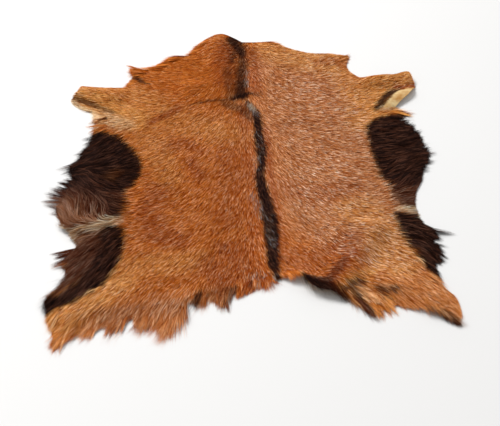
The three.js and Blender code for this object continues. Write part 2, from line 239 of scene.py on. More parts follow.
# which way the hair lies: x, y and heading in degrees
hairGuides = [
    (-60, 465, 190), (-30, 448, 215), (-20, 420, 235), (-150, 380, 190), (-240, 330, 167),
    (-120, 300, 188), (-60, 380, 210), (-30, 330, 235), (-25, 270, 250), (-200, 240, 186),
    (-270, 285, 180), (-340, 230, 176), (-385, 235, 172), (-350, 190, 162), (-280, 180, 175),
    (-180, 150, 228), (-100, 180, 236), (-30, 205, 245), (-60, 90, 239), (-160, 60, 231),
    (-230, 70, 233), (-120, -40, 244), (-40, -40, 240), (10, -60, 256), (-200, -80, 228),
    (-230, -160, 223), (-130, -180, 231), (-40, -180, 240), (-200, -270, 236),
    (-120, -300, 232), (-40, -300, 245), (-260, -350, 235), (-330, -420, 236), (-325, -460, 241),
    (-260, -420, 252), (-190, -400, 251), (-130, -410, 258), (-70, -350, 263), (0, -330, 262),
    (-310, 100, 228), (-305, 50, 232), (-260, 60, 236), (-270, 10, 222), (-340, 10, 218),
    (-240, -30, 201), (-300, -10, 200), (-312, -45, 140), (-270, -75, 172), (-330, -75, 132),
    (-258, -115, 172), (-348, -112, 134), (-375, -95, 147), (-308, -140, 80), (-330, -128, 96),
    (-285, -152, 75), (-355, -165, 107), (-300, -200, 205), (-262, -195, 226), (-310, -220, 222),
    (-270, -240, 243), (-300, -255, 243), (-335, -262, 222), (-262, -280, 241), (-290, -310, 242),
    (-330, -330, 238), (-350, -360, 236),
    (40, 430, 345), (20, 380, 323), (150, 380, 371), (220, 375, 385), (235, 345, 380),
    (100, 360, 362), (180, 330, 382), (250, 300, 358), (330, 290, 364), (380, 300, 372),
    (330, 250, 380), (370, 215, 370), (345, 180, 350), (40, 330, 308), (25, 250, 295),
    (80, 260, 332), (150, 250, 335), (230, 230, 368), (290, 190, 372), (80, 150, 322),
    (160, 130, 343), (240, 120, 348), (50, 40, 288), (120, 20, 322), (200, 10, 330),
    (260, 20, 348), (60, -80, 298), (130, -90, 311), (210, -90, 316), (280, -80, 375),
    (80, -180, 305), (150, -190, 304), (230, -170, 335), (290, -180, 355), (70, -270, 300),
    (110, -290, 309), (170, -330, 322), (200, -300, 338), (260, -280, 325), (320, -300, 311),
    (360, -350, 305), (385, -400, 303), (230, -370, 300), (280, -360, 305), (160, -350, 315),
    (300, 90, 346), (300, 130, 366), (340, 130, 345), (345, 80, 395), (365, 60, 405),
    (320, 40, 345), (350, 10, 395), (310, -10, 389), (335, -50, 405), (350, -60, 412),
    (320, -135, 367), (345, -135, 350), (320, -180, 335), (360, -195, 330), (340, -230, 318),
    (365, -245, 312),
]
flowSpread = {"soften": 18, "power": 3.4}
flowX, flowY = 0, 0
for guideX, guideY, guideHeading in hairGuides:
    pull = 1 / (np.hypot(cellX - guideX, cellY - guideY) + flowSpread["soften"]) ** flowSpread["power"]
    flowX = flowX + pull * math.cos(math.radians(guideHeading))
    flowY = flowY + pull * math.sin(math.radians(guideHeading))
field["flowX"] = flowX / np.hypot(flowX, flowY)
field["flowY"] = flowY / np.hypot(flowX, flowY)


def lieOf(x, y):
    return np.arctan2(look("flowY", x, y), look("flowX", x, y))


# how long the hair is: body hair, then places where it is longer or shorter, each with a
# name, a line, how far from it the place ends and the length there
hairLengths = {"body": 14, "longFrom": 29, "blend": 0.6}
lengthPlaces = [
    ("leftFlank", (-296, 60, -300, -20), 84, 40),
    ("leftBelly", (-296, -120, -340, -140), 78, 58),
    ("leftGroin", (-286, -220, -300, -310), 74, 46),
    ("rightFlank", (330, 90, 336, -50), 74, 44),
    ("rightGroin", (340, -180, 348, -240), 56, 40),
    ("leftRump", (-300, -430, -110, -400), 74, 33),
    ("tail", (-90, -360, -20, -360), 50, 27),
    ("rightRump", (186, -366, 262, -370), 60, 34),
    ("curledRim", (96, -312, 158, -344), 52, 12),
    ("neck", (-60, 420, 40, 400), 90, 15),
    ("leftForeShank", (-390, 225, -310, 220), 60, 16),
    ("rightForeShank", (385, 280, 310, 250), 60, 13),
    ("leftHindShank", (-350, -400, -320, -370), 40, 20),
    ("rightHindShank", (380, -400, 330, -340), 60, 17),
]
field["length"] = np.full(cellX.shape, float(hairLengths["body"]))
for _, line, half, length in lengthPlaces:
    share = hill(farFromLine(cellX, cellY, line)[0] / half) ** hairLengths["blend"]
    field["length"] = field["length"] * (1 - share) + length * share
print("fields ready,", cellX.size, "cells")


# the coat's markings, and some painted shade, shadow, highlight and sheen, each of a kind whose
# share the hair's material mixes in. Meshes hold the kinds in threes. A patch is a closed outline.
# A mark is a path with a half width, one for all or one for each point, and a mark that lies over
# the dark kinds thins them out. Soft is how far an edge fades
coatKinds = ["black", "umber", "taupe", "cream", "tan", "rust", "blush", "grey", "ticking", "bare"]
coatGroups = [coatKinds[first:first + 3] for first in range(0, len(coatKinds), 3)]
coatPatches = [
    {"name": "leftDark", "kind": "black", "soft": 3, "loop": [
        (-440, 150), (-326, 124), (-305, 110), (-262, 84), (-234, 46), (-217, 8), (-215, -26),
        (-230, -66), (-268, -94), (-320, -84), (-440, -70)]},
    {"name": "leftBelly", "kind": "umber", "soft": 5, "loop": [
        (-440, -40), (-300, -50), (-246, -60), (-238, -104), (-246, -150), (-262, -172),
        (-300, -186), (-345, -210), (-440, -190)]},
    {"name": "leftGroinBand", "kind": "black", "soft": 4, "loop": [
        (-262, -176), (-236, -186), (-231, -228), (-235, -264), (-247, -302), (-266, -338),
        (-300, -368), (-350, -392), (-392, -392), (-392, -356), (-340, -346), (-306, -324),
        (-288, -288), (-280, -248), (-278, -205)]},
    {"name": "leftGroinInside", "kind": "umber", "soft": 7, "loop": [
        (-300, -184), (-262, -172), (-262, -240), (-276, -290), (-305, -325), (-350, -350),
        (-400, -330), (-400, -206), (-320, -204)]},
    {"name": "rightDark", "kind": "black", "soft": 4, "loop": [
        (260, 124), (276, 146), (300, 160), (336, 168), (440, 150), (440, -70),
        (350, -66), (320, -70), (300, -62), (278, -40), (270, 4), (263, 60)]},
    {"name": "rightBelly", "kind": "umber", "soft": 6, "loop": [
        (298, -58), (440, -58), (440, -150), (350, -148), (318, -130), (304, -100)]},
    {"name": "rightGroin", "kind": "black", "soft": 5, "loop": [
        (292, -134), (299, -182), (312, -222), (328, -262), (346, -300), (360, -312),
        (440, -290), (440, -160), (350, -146)]},
    {"name": "rightShankFlesh", "kind": "bare", "soft": 1.5, "loop": [
        (294, 186), (307, 198), (318, 214), (328, 234), (342, 253), (360, 250), (384, 261),
        (405, 250), (405, 222), (374, 212), (362, 202), (338, 190), (314, 183)]},
]
markColumns = ["name", "kind", "soft", "share", "path", "half", "over"]
coatMarks = [
    ("neckBlack", "black", 12, 0.85, [(-38, 454), (-26, 436), (-16, 410), (-8, 388)], [2, 4, 3, 1]),
    ("neckDark", "umber", 14, 0.85, [(-34, 446), (-17, 412), (-8, 384)], [7, 10, 4]),
    ("neckLow", "umber", 14, 0.88, [(-10, 386), (-6, 350), (-12, 310), (-10, 270), (-16, 232)],
     [3, 4, 5, 7, 9]),
    ("neckLeftSpot", "umber", 14, 0.5, [(-44, 316), (-38, 282)], [4]),
    ("neckRightLine", "umber", 6, 0.6, [(4, 240), (30, 238)], [1.5]),
    ("neckLine", "umber", 4, 0.7, [(-22, 410), (-30, 385), (-34, 343)], [3, 2, 1.5]),
    ("neckSide", "umber", 12, 0.55, [(-38, 262), (-31, 224)], [4, 7]),
    ("neckCore", "black", 12, 0.6, [(-6, 280), (-9, 262), (-12, 240)], [1, 2, 4]),
    ("knot", "black", 12, 1.0, [(-24, 225), (-14, 230), (-3, 235), (6, 240)], [1, 5, 6, 1]),
    ("neckGreyLine", "grey", 4, 0.7, [(3, 322), (1, 300), (1, 268)], [1.5]),
    ("neckPale", "tan", 12, 0.5, [(-12, 372), (-2, 352), (4, 340)], [3, 6, 4]),
    # a dark line painted along the crease below the withers fold: painted shade
    ("witherCrease", "umber", 3.5, 0.9, [(-24, 219), (-47, 218), (-69, 217), (-92, 212), (-124, 199)],
     [4, 2, 1.5, 1, 0.5]),
    ("belowKnot", "umber", 12, 0.6, [(-48, 207), (-28, 194), (-10, 186)], [3, 8, 5]),
    ("leftOfGrey", "umber", 6, 0.75, [(-8, 188), (1, 168), (10, 150)], [3, 5, 3]),
    ("backStripe", "black", 3.5, 1.0,
     [(22, 172), (25, 155), (27, 120), (28, 91), (32, 62), (33, 42), (34, 20), (35, 0), (30, -20),
     (29, -36), (34, -70), (37, -86), (42, -112), (45, -135), (49, -165), (51, -195), (52, -225),
     (53, -250), (54, -280), (58, -300), (63, -322)],
     [5, 8, 8, 9, 10, 10, 8, 7, 7, 8, 10, 11, 11, 13, 14, 14, 12, 11, 10, 5, 2]),
    ("aboveStripe", "umber", 8, 0.95, [(2, 212), (12, 190), (22, 170)], [3, 6, 7]),
    ("greyAbove", "grey", 5, 0.6, [(6, 206), (14, 190), (22, 170)], [1, 5, 5]),
    ("paleAbove", "cream", 5, 0.5, [(10, 200), (17, 184)], [2]),
    ("greyInStripe", "grey", 6, 0.12, [(26, 110), (30, 60), (34, 30)], [3, 5, 4]),
    # grey hairs in the lower stripe, with painted glints
    ("greyLow", "grey", 5, 0.2, [(47, -150), (50, -200), (54, -230)], [6, 9, 5]),
    ("greySide", "grey", 5, 0.35, [(24, 20), (22, -10)], [3]),
    ("greyPatch", "grey", 6, 0.45, [(16, -92), (24, -112), (30, -150)], [6, 7, 3]),
    ("greyTail", "grey", 14, 0.3, [(20, -312), (56, -312)], [6]),
    ("leftBellyDark", "black", 26, 0.8, [(-330, -84), (-290, -100), (-262, -124), (-256, -150)],
     [4, 10, 8, 2]),
    ("leftBellyTips", "black", 12, 0.85, [(-346, -50), (-366, -88), (-380, -120), (-376, -140)],
     [6, 7, 5, 1]),
    ("leftBellyBrown", "taupe", 30, 0.75, [(-300, -172), (-332, -164), (-364, -144)], [2, 8, 11]),
    ("leftBellyRust", "rust", 14, 0.4, [(-284, -160), (-318, -180)], [5]),
    ("leftCream", "cream", 12, 0.5, [(-252, -166), (-270, -176), (-296, -188), (-334, -206)],
     [6, 7, 2, 1]),
    ("leftFlapRim", "cream", 5, 0.5, [(-352, -188), (-326, -228)], [1.5]),
    ("leftGroinRust", "rust", 9, 0.45, [(-340, -280), (-356, -300), (-366, -340)], [6, 8, 4], "over"),
    ("leftGroinTop", "taupe", 12, 0.55, [(-280, -188), (-310, -208), (-334, -222)], [8, 8, 4]),
    ("leftDarkGlow", "rust", 18, 0.09, [(-272, -40), (-266, -24)], [3], "over"),
    ("rightBrownStreak", "umber", 10, 1.0, [(310, -58), (322, -84), (332, -104), (352, -112)],
     [14, 21, 20, 15]),
    ("rightTanStreak", "taupe", 9, 0.6, [(296, -92), (308, -118)], [5]),
    ("rightCream", "cream", 8, 0.7, [(308, -128), (344, -134), (356, -156)], [3, 8, 3]),
    ("rightGreyUnder", "grey", 9, 0.6, [(330, -132), (352, -140), (358, -164)], [2, 5, 3]),
    # a brown and dark line under the rolled top of the left shank: painted shadow
    ("leftShankBrown", "umber", 9, 0.7, [(-386, 222), (-362, 209), (-343, 201), (-319, 187), (-292, 172)],
     [2, 3, 4, 2, 0.5]),
    ("leftShankDark", "umber", 7, 0.85, [(-372, 214), (-350, 204), (-330, 192)], [1, 5, 1]),
    ("leftShankCream", "cream", 5, 0.85, [(-388, 208), (-366, 189), (-345, 178), (-326, 168)],
     [6, 4, 4, 5], "over"),
    ("leftShankPale", "cream", 18, 0.45, [(-322, 160), (-280, 140)], [9]),
    ("leftArmpitPale", "cream", 16, 0.4, [(-326, 148), (-298, 146), (-262, 130)], [13]),
    ("leftShoulderMark", "umber", 5, 0.9, [(-266, 318), (-244, 290), (-228, 276)], [2, 4, 1.5]),
    ("rightShankShadow", "black", 8, 0.95, [(288, 184), (302, 203), (314, 222), (327, 240), (341, 253)],
     [1, 6, 9, 8, 2]),
    ("rightShankRed", "rust", 5, 0.9, [(336, 261), (360, 260), (384, 269)], [2, 4, 5], "over"),
    ("rightHindDark", "umber", 6, 1.0, [(326, -388), (351, -404), (384, -422)], [4, 8, 10]),
    ("rightHindTip", "black", 7, 0.75, [(346, -404), (362, -414), (380, -424)], [1, 5, 5]),
    ("rumpRimDark", "umber", 6, 1.0, [(106, -322), (124, -334), (142, -344), (168, -362)],
     [10, 17, 18, 6]),
    ("rumpRimBlack", "black", 9, 1.0, [(106, -324), (126, -344), (150, -360), (178, -358)],
     [8, 11, 8, 2]),
    ("haunchSpotA", "umber", 6, 0.95, [(184, -352), (199, -338), (220, -326)], [2, 6, 3]),
    ("haunchSpotB", "umber", 7, 0.85, [(244, -338), (259, -350), (277, -344)], [3, 5, 4]),
    ("haunchLock", "umber", 7, 1.0, [(204, -352), (212, -368), (224, -390)], [2, 5, 4]),
    ("haunchRimLock", "umber", 12, 0.8, [(160, -352), (180, -368), (196, -376)], [8, 8, 3]),
    ("haunchCream", "cream", 12, 0.15, [(208, -342), (222, -356), (240, -362)], [3, 5, 3]),
    ("haunchTan", "tan", 30, 0.4, [(200, -350), (250, -380)], [16]),
    ("tailTipDark", "umber", 7, 0.9, [(-18, -336), (-27, -360), (-40, -384)], [2, 4, 4]),
    ("leftNotchDark", "black", 5, 0.9, [(-82, -346), (-90, -366), (-100, -384)], [1, 3, 4]),
    ("rearFringe", "taupe", 20, 0.3, [(-300, -420), (-200, -396), (-110, -380), (-40, -346)], [8]),
    ("tailFringe", "umber", 12, 0.35, [(-76, -352), (-50, -350), (-24, -346)], [3]),
    ("leftForeTan", "tan", 42, 0.95, [(-370, 205), (-300, 180), (-250, 150)], [24]),
    ("leftShoulderTan", "tan", 50, 0.5, [(-300, 250), (-220, 210)], [16]),
    ("leftNeckTan", "tan", 30, 0.5, [(-262, 216), (-180, 176)], [10]),
    ("rightForeTan", "tan", 50, 0.8, [(380, 290), (280, 240), (300, 170)], [26]),
    ("leftHindTan", "tan", 46, 0.75, [(-336, -410), (-240, -320)], [18]),
    ("rightHindTan", "tan", 60, 0.2, [(386, -390), (300, -300)], [30]),
    ("neckRust", "rust", 30, 0.6, [(-40, 400), (-52, 340), (-44, 280)], [12]),
    ("neckRightRust", "rust", 24, 0.6, [(8, 400), (14, 330), (16, 260)], [8]),
    ("leftSideRust", "rust", 34, 0.55, [(-174, -78), (-193, -142), (-172, -192), (-126, -218)],
     [6, 9, 12, 6]),
    ("leftStreakRust", "rust", 14, 0.7, [(-209, 137), (-178, 164), (-150, 185)], [2, 5, 2]),
    ("leftSpotRust", "rust", 22, 0.45, [(-161, 60), (-130, 70), (-97, 44)], [4, 6, 4]),
    ("leftBackSpot", "rust", 18, 0.6, [(-112, 13), (-94, -34)], [4]),
    ("leftGolden", "tan", 50, 0.4, [(-256, 171), (-177, 150), (-89, 126), (-12, 93)], [26, 20, 14, 8]),
    ("leftGoldenBand", "tan", 36, 0.4, [(-206, 93), (-168, -3), (-155, -49)], [20, 12, 6]),
    ("rearGolden", "tan", 36, 0.45, [(-226, -291), (-142, -276), (-86, -266)], [18, 12, 6]),
    ("rearRust", "rust", 30, 0.6, [(-70, -276), (-43, -321), (0, -283), (-29, -240)], [10]),
    ("leftBackRust", "rust", 50, 0.4, [(-22, 44), (-21, -49), (-26, -150)], [14]),
    ("stripeLeftRust", "rust", 22, 0.5, [(0, 190), (2, 60), (12, -60), (20, -250)], [6]),
    ("stripeRightRust", "rust", 9, 0.6, [(44, 120), (50, 0), (64, -150), (66, -260)], [3]),
    ("rumpRust", "rust", 34, 0.5, [(76, -258), (123, -281), (181, -247), (207, -208)], [8, 12, 8, 3]),
    ("rightBandRust", "rust", 34, 0.35, [(71, -64), (131, -93), (214, -64)], [8]),
    ("rightTopRust", "rust", 18, 0.5, [(168, 355), (202, 363), (229, 347)], [7]),
    ("rightSideTan", "tan", 36, 0.6, [(227, 286), (256, 213), (250, 143)], [14]),
    # the haunch fold's trough is painted shade and its ridge a painted highlight, over the real fold
    ("haunchTrough", "rust", 12, 0.85, [(204, -262), (187, -283), (171, -305), (153, -333)],
     [5, 9, 10, 8]),
    ("haunchShadow", "umber", 10, 0.55, [(187, -283), (171, -305), (153, -333)], [2, 5, 5]),
    ("haunchRidge", "tan", 10, 0.8, [(255, -279), (232, -304), (202, -326)], [5]),
    ("legTipSpot", "cream", 1.5, 1.0, [(386, -412), (388, -420)], [2.5]),
    ("rightShankPale", "cream", 6, 0.6, [(300, 184), (352, 192)], [3]),
    ("tailRust", "rust", 30, 0.5, [(-10, -240), (20, -320)], [16]),
    # the right half and its hind leg painted paler and pinker: a painted sheen
    ("rightBlush", "blush", 80, 1.0, [(110, 300), (160, 0), (190, -120), (250, -200)], [70, 100, 86, 40]),
    ("hindBlush", "blush", 60, 0.6, [(250, -200), (300, -300), (340, -360)], [30]),
    ("rightRearTan", "tan", 44, 0.55, [(226, -140), (262, -190), (290, -270)], [26]),
    ("rightShoulderTan", "tan", 60, 0.6, [(60, 410), (220, 350)], [22]),
    ("leftRumpBlush", "blush", 40, 0.7, [(-230, -410), (-110, -395)], [20]),
    # pale ticked hairs with painted glints; on the right half mostly a painted sheen
    ("leftTicking", "ticking", 1, 0.4, [(-340, 0), (0, 0)], [900]),
    ("rightTicking", "ticking", 80, 0.9, [(160, 230), (180, 0), (190, -120), (250, -200)], [70]),
    ("rearTicking", "ticking", 60, 0.5, [(-300, -400), (-120, -380)], [40]),
]

# where the hair lies smooth and its locks differ less: a line, how far from it and how much
calmBlend = 0.5
calmPlaces = [
    ((-150, 330, -90, 300), 120, 0.55),
    ((-300, 60, -250, 0), 80, 0.4),
    ((-280, 220, -200, 160), 90, 0.3),
]
field["calm"] = np.zeros(cellX.shape)
for line, half, most in calmPlaces:
    share = hill(farFromLine(cellX, cellY, line)[0] / half) ** calmBlend
    field["calm"] = np.maximum(field["calm"], most * share)


# long streaks of lighter and darker hair: noise smeared along the lie of the coat
streaks = {
    "streak": {"seed": 12, "soften": 0, "reach": 34.0, "steps": 14},
    "clump": {"seed": 15, "soften": 3, "reach": 26.0, "steps": 10},
}


def smearAlongFlow(streak):
    random = np.random.default_rng(streak["seed"])
    grain = random.normal(0, 1, cellX.shape)
    for _ in range(streak["soften"]):
        grain = grain + np.roll(grain, 1, axis=0) + np.roll(grain, -1, axis=0)
        grain = grain + np.roll(grain, 1, axis=1) + np.roll(grain, -1, axis=1)
    field["grain"] = grain
    total = np.zeros(cellX.shape)
    for sign in (-1, 1):
        px, py = cellX, cellY
        stride = sign * streak["reach"] / streak["steps"]
        for _ in range(streak["steps"]):
            total = total + look("grain", px, py)
            px, py = px + look("flowX", px, py) * stride, py + look("flowY", px, py) * stride
    return total / total.std()


for name, streak in streaks.items():
    field[name] = smearAlongFlow(streak)


# the share of the pale ticks and painted glints that dark hair hides, and of the hair's length that bare
# skin takes
glintsHidden = {"black": 0.97, "umber": 0.7}
bareTakes = 0.85


def markShare(mark):
    halves = mark["half"] if len(mark["half"]) > 1 else mark["half"] * len(mark["path"])
    best = np.zeros(cellX.shape)
    for a, b, halfA, halfB in zip(mark["path"], mark["path"][1:], halves, halves[1:]):
        far, along = farFromLine(cellX, cellY, (*a, *b))
        wide = halfA + (halfB - halfA) * along
        best = np.maximum(best, 1 - smooth(far, wide, wide + mark["soft"]))
    return best * mark["share"]


for kind in coatKinds:
    field[kind] = np.zeros(cellX.shape)
for patch in coatPatches:
    depth = depthInside(cellX, cellY, np.array(patch["loop"], float))[0]
    share = smooth(depth, -patch["soft"], patch["soft"])
    field[patch["kind"]] = np.maximum(field[patch["kind"]], share)
for row in coatMarks:
    mark = dict(zip(markColumns, row))
    share = markShare(mark)
    field[mark["kind"]] = np.maximum(field[mark["kind"]], share)
    if "over" in mark:
        for dark in glintsHidden:
            field[dark] = field[dark] * (1 - share)
for dark, hidden in glintsHidden.items():
    field["ticking"] = field["ticking"] * (1 - hidden * field[dark])
field["length"] = field["length"] * (1 - bareTakes * field["bare"])
print("markings laid,", len(coatPatches) + len(coatMarks))


# colours as they read in daylight, 0 to 1
coatColours = {
    "ginger": (0.80, 0.435, 0.15),
    "black": (0.11, 0.052, 0.038),
    "umber": (0.33, 0.16, 0.085),
    "taupe": (0.58, 0.38, 0.26),
    "cream": (0.90, 0.78, 0.60),
    "tan": (0.88, 0.60, 0.30),
    "rust": (0.64, 0.275, 0.095),
    # a real pinkish brown on the left rump, and a painted sheen on the right half
    "blush": (0.79, 0.49, 0.275),
    "grey": (0.58, 0.505, 0.44),
    "tickedGlint": (0.86, 0.65, 0.46),
    "flesh": (0.88, 0.77, 0.56),
    "fleshShade": (0.72, 0.52, 0.28),
}


def linear(colour):
    return [c / 12.92 if c <= 0.04045 else ((c + 0.055) / 1.055) ** 2.4 for c in colour] + [1.0]


def addNode(tree, kind, **inputs):
    node = tree.nodes.new(kind)
    for name, value in inputs.items():
        node.inputs[name].default_value = value
    return node


def attributeOf(tree, name):
    node = tree.nodes.new("ShaderNodeAttribute")
    node.attribute_name = name
    return node


def mathOf(tree, operation, a, b):
    node = tree.nodes.new("ShaderNodeMath")
    node.operation = operation
    for slot, value in enumerate((a, b)):
        if isinstance(value, (int, float)):
            node.inputs[slot].default_value = value
        else:
            tree.links.new(value, node.inputs[slot])
    return node.outputs[0]


def mixOf(tree, factor, a, b, blend="MIX"):
    node = tree.nodes.new("ShaderNodeMix")
    node.data_type = "RGBA"
    node.blend_type = blend
    node.clamp_factor = True
    for socket, value in (("Factor_Float", factor), ("A_Color", a), ("B_Color", b)):
        target = next(i for i in node.inputs if i.identifier == socket)
        if isinstance(value, (int, float, list, tuple)):
            target.default_value = value
        else:
            tree.links.new(value, target)
    return next(o for o in node.outputs if o.identifier == "Result_Color")


def rampOf(tree, value, low, high, toLow, toHigh):
    node = tree.nodes.new("ShaderNodeMapRange")
    tree.links.new(value, node.inputs["Value"])
    for name, number in (("From Min", low), ("From Max", high), ("To Min", toLow), ("To Max", toHigh)):
        node.inputs[name].default_value = number
    return node.outputs["Result"]


def noiseOf(tree, scale, detail, roughness):
    place = tree.nodes.new("ShaderNodeTexCoord")
    node = addNode(tree, "ShaderNodeTexNoise", Scale=scale, Detail=detail, Roughness=roughness)
    tree.links.new(place.outputs["Object"], node.inputs["Vector"])
    return node.outputs["Fac"]


# the parts of a mesh's vector attribute as sockets
def partsOf(tree, name):
    split = tree.nodes.new("ShaderNodeSeparateXYZ")
    tree.links.new(attributeOf(tree, name).outputs["Vector"], split.inputs[0])
    return split.outputs


def coatShares(tree):
    shares = {}
    for number, group in enumerate(coatGroups):
        shares.update(zip(group, partsOf(tree, "coat" + str(number))))
    return shares


# the coat's colour from its shares, before what differs from hair to hair
def coatColour(tree, shares, black):
    colour = linear(coatColours["ginger"])
    for kind in ("blush", "tan", "rust", "umber", "taupe", "black", "cream", "grey"):
        shown = black if kind == "black" else linear(coatColours[kind])
        colour = mixOf(tree, shares[kind], colour, shown)
    return colour


hairFinish = {
    "roughness": 0.6,
    "specular": 0.04,
    "warmth": (0.7, 1.25, 1.9),
    "patchNoise": (9.0, 3.0, 0.6),
    "patch": (0.88, 1.12),
    "speckNoise": (46.0, 2.0, 0.6),
    "speck": (0.92, 1.08),
    "noiseRange": (0.3, 0.7),
    "lockShare": 0.55,
    "darkest": 0.12,
    "lightest": 1.9,
    "glintFrom": 0.64,
    "brownFrom": 0.5,
    "greyLock": 0.75,
    "rootShade": 0.3,
    "halfWay": 0.5,
    "tipShade": 1.25,
}


def makeHairMaterial():
    material = bpy.data.materials.new("goatHair")
    material.use_nodes = True
    tree = material.node_tree
    shader = tree.nodes["Principled BSDF"]
    shares = coatShares(tree)
    along, tone, lock = partsOf(tree, "strand")
    share = hairFinish["lockShare"]
    own = mathOf(tree, "MULTIPLY", tone, 1 - share)
    value = mathOf(tree, "ADD", mathOf(tree, "MULTIPLY", lock, share), own)
    brown = rampOf(tree, value, hairFinish["brownFrom"], 1.0, 0.0, 1.0)
    black = mixOf(tree, brown, linear(coatColours["black"]), linear(coatColours["umber"]))
    colour = coatColour(tree, shares, black)
    # the palest hairs take the ticked colour, partly pale hair and partly a painted glint
    glintShare = rampOf(tree, value, hairFinish["glintFrom"], 1.0, 0.0, 1.0)
    glintShare = mathOf(tree, "MULTIPLY", glintShare, shares["ticking"])
    shown = mixOf(tree, glintShare, colour, linear(coatColours["tickedGlint"]))
    patches = noiseOf(tree, *hairFinish["patchNoise"])
    specks = noiseOf(tree, *hairFinish["speckNoise"])
    half = hairFinish["halfWay"]
    level = rampOf(tree, value, 0.0, 1.0, hairFinish["darkest"], hairFinish["lightest"])
    # each hair is painted darker toward its root, a painted shade between the hairs, and lighter toward its
    # tip
    for shade in (
            rampOf(tree, patches, *hairFinish["noiseRange"], *hairFinish["patch"]),
            rampOf(tree, specks, *hairFinish["noiseRange"], *hairFinish["speck"]),
            rampOf(tree, along, 0.0, half, hairFinish["rootShade"], 1.0),
            rampOf(tree, along, half, 1.0, 1.0, hairFinish["tipShade"])):
        level = mathOf(tree, "MULTIPLY", level, shade)
    warm = tree.nodes.new("ShaderNodeCombineColor")
    for slot, power in enumerate(hairFinish["warmth"]):
        tree.links.new(mathOf(tree, "POWER", level, power), warm.inputs[slot])
    shown = mixOf(tree, 1.0, shown, warm.outputs[0], "MULTIPLY")
    tree.links.new(shown, shader.inputs["Base Color"])
    shader.inputs["Roughness"].default_value = hairFinish["roughness"]
    shader.inputs["Specular IOR Level"].default_value = hairFinish["specular"]
    return material


skinFinish = {
    "underHairShade": 0.28,
    "roughness": 0.75,
    "specular": 0.25,
    "grainNoise": (420.0, 4.0, 0.7),
    "grain": 0.25,
    "grainDepth": 0.0006,
    "blotchNoise": (42.0, 4.0, 0.6),
    "blotchRange": (0.35, 0.65),
}


def makeSkinMaterial():
    material = bpy.data.materials.new("goatSkin")
    material.use_nodes = True
    tree = material.node_tree
    shader = tree.nodes["Principled BSDF"]
    shares = coatShares(tree)
    coat = coatColour(tree, shares, linear(coatColours["black"]))
    flesh = mathOf(tree, "MAXIMUM", attributeOf(tree, "flesh").outputs["Fac"], shares["bare"])
    # the skin between the hairs is the coat colour painted much darker: painted shade under the hair
    shadedSkin = mixOf(tree, 1 - skinFinish["underHairShade"], coat, [0.0, 0.0, 0.0, 1.0])
    blotch = noiseOf(tree, *skinFinish["blotchNoise"])
    blotch = rampOf(tree, blotch, *skinFinish["blotchRange"], 0.0, 1.0)
    pale = mixOf(tree, blotch, linear(coatColours["flesh"]), linear(coatColours["fleshShade"]))
    tree.links.new(mixOf(tree, flesh, shadedSkin, pale), shader.inputs["Base Color"])
    shader.inputs["Roughness"].default_value = skinFinish["roughness"]
    shader.inputs["Specular IOR Level"].default_value = skinFinish["specular"]
    bump = addNode(tree, "ShaderNodeBump", Strength=skinFinish["grain"], Distance=skinFinish["grainDepth"])
    tree.links.new(noiseOf(tree, *skinFinish["grainNoise"]), bump.inputs["Height"])
    tree.links.new(bump.outputs["Normal"], shader.inputs["Normal"])
    return material


hairMaterial = makeHairMaterial()
skinMaterial = makeSkinMaterial()


# writes the coat's kinds at x, y into the mesh, each repeated for all points of a hair. Grey
# comes lock by lock, where a lock's pick is below the share
def setCoat(mesh, x, y, repeat, pick=None):
    for number, group in enumerate(coatGroups):
        shares = np.zeros((len(x), 3))
        for slot, kind in enumerate(group):
            shares[:, slot] = look(kind, x, y)
            if kind == "grey" and pick is not None:
                shares[:, slot] = (pick < shares[:, slot]) * hairFinish["greyLock"]
        values = np.repeat(shares, repeat, axis=0).astype(np.float32)
        layer = mesh.attributes.new("coat" + str(number), "FLOAT_VECTOR", "POINT")
        layer.data.foreach_set("vector", values.ravel())


def makePiece(name, mesh, material):
    piece = bpy.data.objects.new(name, mesh)
    bpy.context.scene.collection.objects.link(piece)
    mesh.materials.append(material)
    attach(piece, "root")
    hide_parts("hide")
    return piece


# the tanned skin itself: a thin sheet on the folds, closed round its cut rim
skinSheet = {
    "thick": 1.5, "step": 7.0, "rowShare": 0.866, "inset": 4.0, "clear": 0.05,
    "merge": 1e-5, "crease": 50,
}


def makeSkin():
    step = skinSheet["step"]
    columns = np.arange(gridX[0], gridX[-1], step)
    rows = np.arange(gridY[0], gridY[-1], step * skinSheet["rowShare"])
    x, y = np.meshgrid(columns, rows)
    x = x + np.where(np.arange(len(rows)) % 2, step / 2, 0)[:, None]
    keep = look("skin", x, y) > skinSheet["inset"]
    points = np.vstack([skinRim, np.column_stack([x[keep], y[keep]])])
    rimOrder = list(range(len(skinRim)))
    edges = list(zip(rimOrder, rimOrder[1:] + rimOrder[:1]))
    flat = [Vector(p) for p in points]
    places, _, faces, _, _, _ = geometry.delaunay_2d_cdt(flat, edges, [rimOrder], 1, skinSheet["merge"])
    x = np.array([p.x for p in places])
    y = np.array([p.y for p in places])
    z = look("lift", x, y) + skinSheet["thick"] + skinSheet["clear"]
    mesh = bpy.data.meshes.new("skin")
    mesh.from_pydata(np.column_stack([x, y, z]) * mm, [], [list(reversed(f)) for f in faces])
    skin = makePiece("skin", mesh, skinMaterial)
    if mesh.polygons[0].normal.z < 0:
        mesh.flip_normals()
    bpy.context.view_layer.objects.active = skin
    skin.select_set(True)
    solid = skin.modifiers.new("thickness", "SOLIDIFY")
    solid.thickness = skinSheet["thick"] * mm
    solid.offset = -1
    bpy.ops.object.modifier_apply(modifier=solid.name)
    bpy.ops.object.shade_smooth_by_angle(angle=math.radians(skinSheet["crease"]))
    skin.select_set(False)
    mesh = skin.data
    co = np.zeros(len(mesh.vertices) * 3)
    mesh.vertices.foreach_get("co", co)
    co = co.reshape(-1, 3) / mm
    setCoat(mesh, co[:, 0], co[:, 1], 1)
    flesh = (co[:, 2] < look("lift", co[:, 0], co[:, 1]) + skinSheet["thick"] / 2).astype(np.float32)
    mesh.attributes.new("flesh", "FLOAT", "POINT").data.foreach_set("value", flesh)
    return skin


skin = makeSkin()
print("skin made,", len(skin.data.polygons), "faces")


